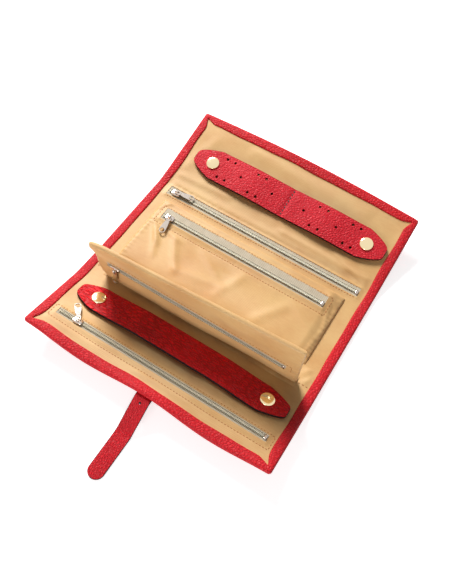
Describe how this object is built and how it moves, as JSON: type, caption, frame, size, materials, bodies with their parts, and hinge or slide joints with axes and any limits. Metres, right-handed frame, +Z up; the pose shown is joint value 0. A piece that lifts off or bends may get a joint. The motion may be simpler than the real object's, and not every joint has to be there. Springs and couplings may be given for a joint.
{
  "type": "jewelry roll",
  "caption": "Folding leather jewelry roll lying open, with satin lining, zipped pockets, a standing page, a ring bar, an earring strap and a wrap-over closing strap.",
  "frame": {"origin": "centre of the middle section's underside, on the surface that the open roll rests on", "axes": "+X along the zips, towards their stops; +Y from the near edge with the closing strap to the far edge with the earring strap; +Z up"},
  "size_m": [0.25, 0.3733, 0.072],
  "materials": {
    "red_leather": "pebbled, semi-matt, black painted edges on the straps",
    "satin_lining": "woven satin, soft sheen",
    "backing_board": "bare board, hidden",
    "pocket_cloth": "plain cloth, hidden",
    "zip_tape": "woven polyester tape",
    "zip_coil": "nylon coil",
    "nickel_steel": "nickel plated, satin",
    "gold_metal": "polished, gold coloured"
  },
  "bodies": {
    "middle": {"middle_leather": "red_leather", "middle_board": "backing_board", "middle_pocket_bag": "pocket_cloth", "middle_lining": "satin_lining", "base_zip_tape": "zip_tape", "base_zip_coil": "zip_coil", "base_zip_stop": "nickel_steel", "pouch_back": "satin_lining", "pouch_front": "satin_lining", "pouch_zip_tape": "zip_tape", "pouch_zip_coil": "zip_coil", "pouch_zip_stop": "nickel_steel"},
    "near_spine": {"near_spine_leather": "red_leather", "near_spine_lining": "satin_lining", "page_hem": "satin_lining"},
    "page": {"page_front": "satin_lining", "page_board": "backing_board", "page_back": "satin_lining", "page_zip_tape": "zip_tape", "page_zip_coil": "zip_coil", "page_zip_stop": "nickel_steel"},
    "near_panel": {"near_leather": "red_leather", "near_board": "backing_board", "near_pocket_bag": "pocket_cloth", "near_lining": "satin_lining", "near_zip_tape": "zip_tape", "near_zip_coil": "zip_coil", "near_zip_stop": "nickel_steel", "ring_bar_end": "red_leather", "ring_bar_left_cap": "gold_metal", "ring_bar_left_stud": "gold_metal", "ring_bar_right_stud": "gold_metal", "strap_anchor": "red_leather"},
    "ring_bar": {"ring_bar": "red_leather", "ring_bar_right_cap": "gold_metal"},
    "strap_inner": {"strap_inner": "red_leather"},
    "strap_outer": {"strap_outer": "red_leather", "strap_magnet": "nickel_steel"},
    "far_spine": {"far_spine_leather": "red_leather", "far_spine_lining": "satin_lining", "catch_plate": "nickel_steel"},
    "far_panel": {"far_leather": "red_leather", "far_board": "backing_board", "far_lining": "satin_lining", "earring_strap_centre": "red_leather", "earring_left_stud": "gold_metal", "earring_right_stud": "gold_metal"},
    "earring_left": {"earring_strap_left": "red_leather", "earring_left_cap": "gold_metal"},
    "earring_right": {"earring_strap_right": "red_leather", "earring_right_cap": "gold_metal"},
    "base_slider": {"base_zip_slider": "nickel_steel"},
    "base_pull": {"base_zip_pull": "nickel_steel"},
    "pouch_slider": {"pouch_zip_slider": "nickel_steel"},
    "pouch_pull": {"pouch_zip_pull": "nickel_steel"},
    "page_slider": {"page_zip_slider": "nickel_steel"},
    "page_pull": {"page_zip_pull": "nickel_steel"},
    "near_slider": {"near_zip_slider": "nickel_steel"},
    "near_pull": {"near_zip_pull": "nickel_steel"}
  },
  "joints": [
    {"name": "near_spine_fold", "type": "hinge", "parent": "middle", "child": "near_spine", "pos_m": [0, -0.05075, 0.0046], "axis": [-1, 0, 0], "range_deg": [0, 86.5]},
    {"name": "near_panel_fold", "type": "hinge", "parent": "near_spine", "child": "near_panel", "pos_m": [0, -0.08668, 0.0068], "axis": [-1, 0, 0], "range_deg": [0, 79.5]},
    {"name": "far_spine_fold", "type": "hinge", "parent": "middle", "child": "far_spine", "pos_m": [0, 0.05075, 0.0046], "axis": [1, 0, 0], "range_deg": [0, 78]},
    {"name": "far_panel_fold", "type": "hinge", "parent": "far_spine", "child": "far_panel", "pos_m": [0, 0.06542, 0.00772], "axis": [1, 0, 0], "range_deg": [0, 87]},
    {"name": "page_fold", "type": "hinge", "parent": "near_spine", "child": "page", "pos_m": [0, -0.06859, 0.00779], "axis": [1, 0, 0], "range_deg": [-90, 0]},
    {"name": "ring_bar_lift", "type": "hinge", "parent": "near_panel", "child": "ring_bar", "pos_m": [-0.078, -0.10112, 0.01297], "axis": [-0.6428, 0.7433, -0.1853], "range_deg": [-80, 0]},
    {"name": "earring_left_lift", "type": "hinge", "parent": "far_panel", "child": "earring_left", "pos_m": [-0.003, 0.09066, 0.01707], "axis": [0, -0.9659, -0.2588], "range_deg": [-75, 0]},
    {"name": "earring_right_lift", "type": "hinge", "parent": "far_panel", "child": "earring_right", "pos_m": [0.009, 0.09066, 0.01707], "axis": [0, 0.9659, 0.2588], "range_deg": [-75, 0]},
    {"name": "strap_bend", "type": "hinge", "parent": "near_panel", "child": "strap_inner", "pos_m": [0.003, -0.16015, 0.01801], "axis": [-1, 0, 0], "range_deg": [0, 46.2]},
    {"name": "strap_wrap", "type": "hinge", "parent": "strap_inner", "child": "strap_outer", "pos_m": [0.003, -0.18926, 0.0023], "axis": [-1, 0, 0], "range_deg": [0, 57.8]},
    {"name": "near_zip_slide", "type": "slide", "parent": "near_panel", "child": "near_slider", "axis": [1, 0, 0], "range_m": [-0.012, 0.17]},
    {"name": "near_pull_swing", "type": "hinge", "parent": "near_slider", "child": "near_pull", "pos_m": [-0.086, -0.13125, 0.0211], "axis": [-0.766, -0.6237, 0.1555], "range_deg": [-150, 0]},
    {"name": "page_zip_slide", "type": "slide", "parent": "page", "child": "page_slider", "axis": [1, 0, 0], "range_m": [0, 0.16]},
    {"name": "page_pull_swing", "type": "hinge", "parent": "page_slider", "child": "page_pull", "pos_m": [-0.085, -0.07908, 0.03246], "axis": [1, 0, 0], "range_deg": [-150, 0]},
    {"name": "pouch_zip_slide", "type": "slide", "parent": "middle", "child": "pouch_slider", "axis": [1, 0, 0], "range_m": [0, 0.16]},
    {"name": "pouch_pull_swing", "type": "hinge", "parent": "pouch_slider", "child": "pouch_pull", "pos_m": [-0.0858, 0.01155, 0.0126], "axis": [0.9945, 0.1045, 0], "range_deg": [-150, 0]},
    {"name": "base_zip_slide", "type": "slide", "parent": "middle", "child": "base_slider", "axis": [1, 0, 0], "range_m": [0, 0.17]},
    {"name": "base_pull_swing", "type": "hinge", "parent": "base_slider", "child": "base_pull", "pos_m": [-0.1, 0.04415, 0.0077], "axis": [-0.1392, 0.9903, 0], "range_deg": [-150, 0]}
  ],
  "couplings": [
    {"joint": "near_panel_fold", "follows": "near_spine_fold", "ratio": 0.919},
    {"joint": "far_panel_fold", "follows": "far_spine_fold", "ratio": 1.1153}
  ]
}
